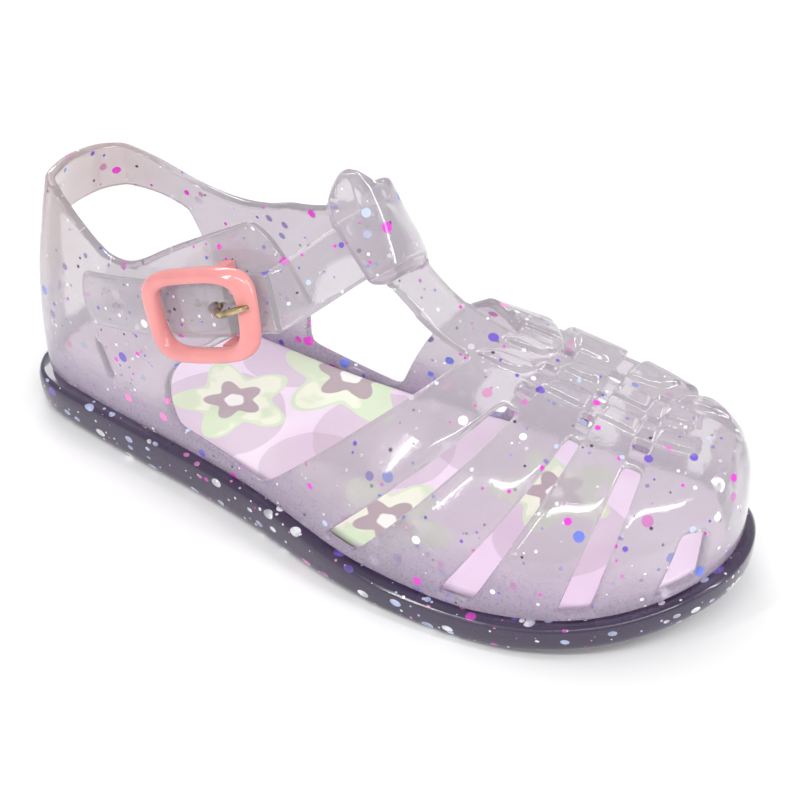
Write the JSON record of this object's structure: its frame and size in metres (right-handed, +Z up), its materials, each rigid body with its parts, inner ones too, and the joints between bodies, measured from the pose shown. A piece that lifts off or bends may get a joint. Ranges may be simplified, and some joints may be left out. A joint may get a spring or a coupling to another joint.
{
  "type": "jelly sandal",
  "caption": "Child's transparent glitter fisherman-style jelly sandal with woven vamp, ankle strap, keeper and buckle, on a smoky moulded sole.",
  "frame": {"origin": "bottom centre of the bounding box, on the floor", "axes": "toe towards -Y, lateral (buckle) side towards -X, +Z up"},
  "size_m": [0.0584, 0.1508, 0.0724],
  "materials": {
    "smoky_plastic": "smoky translucent violet-grey with fine glitter, glossy",
    "printed_sock": "smooth printed sock, soft pale flowers on lilac",
    "clear_plastic": "clear, faintly lilac, with glitter, glossy",
    "pink_plastic": "opaque salmon pink, glossy",
    "bar_plastic": "dark, glossy",
    "brass": "polished"
  },
  "bodies": {
    "root": {"outsole": "smoky_plastic", "insole": "printed_sock", "upper": "clear_plastic", "buckle_frame": "pink_plastic", "buckle_bar": "bar_plastic", "buckle_prong": "brass"}
  },
  "joints": []
}
